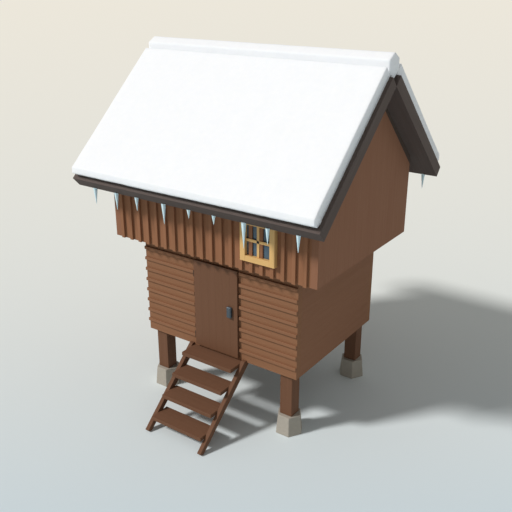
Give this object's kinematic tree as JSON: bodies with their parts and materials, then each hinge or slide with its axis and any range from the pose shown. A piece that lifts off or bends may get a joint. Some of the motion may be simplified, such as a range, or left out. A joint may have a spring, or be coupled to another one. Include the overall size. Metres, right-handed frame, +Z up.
{
  "type": "raised granary",
  "caption": "Two-storey timber granary on four posts, with a jettied upper storey, snow-covered gable roof, hinged door and short open stair.",
  "frame": {"origin": "middle of the bounding box, on the ground under the footings", "axes": "+X along the ridge, +Y away from the door, +Z up; the door and the stair face -Y"},
  "size_m": [4.892, 4.88, 6.36],
  "materials": {
    "timber": "matte",
    "door_timber": "matte",
    "dark_timber": "matte",
    "roof_boards": "matte",
    "footing_stone": "matte",
    "snow": "matte",
    "ice": "gloss",
    "window_paint": "matte",
    "window_glass": "gloss",
    "lock_iron": "satin"
  },
  "bodies": {
    "house": {"footings": "footing_stone", "posts": "timber", "ground_floor": "timber", "lower_front_left": "timber", "lower_front_right": "timber", "door_sill": "timber", "door_head": "timber", "lower_rear": "timber", "lower_left": "timber", "lower_right": "timber", "ribs_front_left": "timber", "ribs_front_right": "timber", "ribs_rear": "timber", "hinge_brackets": "lock_iron", "upper_floor": "timber", "upper_front_left": "timber", "upper_front_right": "timber", "upper_front_below": "timber", "upper_front_above": "timber", "upper_rear": "timber", "gable_left": "timber", "gable_right": "timber", "rafter_front_left": "dark_timber", "rafter_front_right": "dark_timber", "rafter_rear_left": "dark_timber", "rafter_rear_right": "dark_timber", "battens_front": "timber", "battens_rear": "timber", "window_frame": "window_paint", "window_boss": "lock_iron", "window_glass": "window_glass", "roof_front": "roof_boards", "roof_rear": "roof_boards", "snow_front": "snow", "snow_rear": "snow", "snow_ridge": "snow", "icicles_front": "ice", "icicles_rear": "ice", "stringer_left": "timber", "stringer_right": "timber", "treads": "timber"},
    "door": {"door": "door_timber", "door_lock": "lock_iron", "hinge_barrels": "lock_iron"}
  },
  "joints": [
    {"name": "door_hinge", "type": "hinge", "parent": "house", "child": "door", "pos_m": [-0.475, -1.17155, 2.0335], "axis": [0, 0, -1], "range_deg": [0, 105]}
  ]
}
